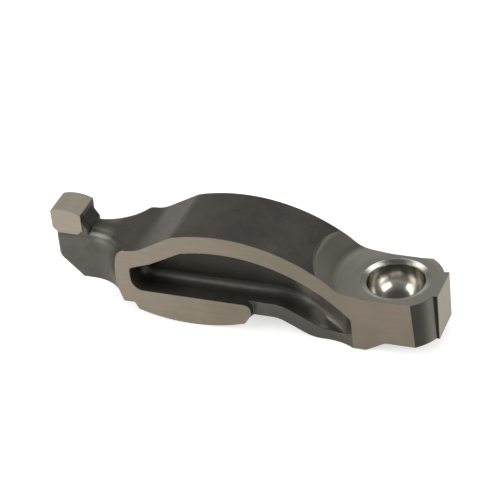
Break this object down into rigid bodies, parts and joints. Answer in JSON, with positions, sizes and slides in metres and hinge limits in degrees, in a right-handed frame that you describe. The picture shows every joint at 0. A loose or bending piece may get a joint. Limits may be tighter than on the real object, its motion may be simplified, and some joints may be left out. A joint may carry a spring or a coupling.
{
  "type": "rocker arm",
  "caption": "One-piece forged finger-follower rocker arm: ball socket at one end, valve tip at the other, convex cam pad under an arched I-section body.",
  "frame": {"origin": "centre of the ball socket's sphere", "axes": "+Z along the socket's axis, out of its mouth (the side that the valve tip faces too); +X along the arm from the valve tip to the socket; Y across it, with the sides mirrored about Y = 0"},
  "size_m": [0.0838, 0.0164, 0.0227],
  "materials": {
    "forged_steel": "dark forged steel with ground faces"
  },
  "bodies": {
    "root": {"rocker_arm": "forged_steel"}
  },
  "joints": []
}
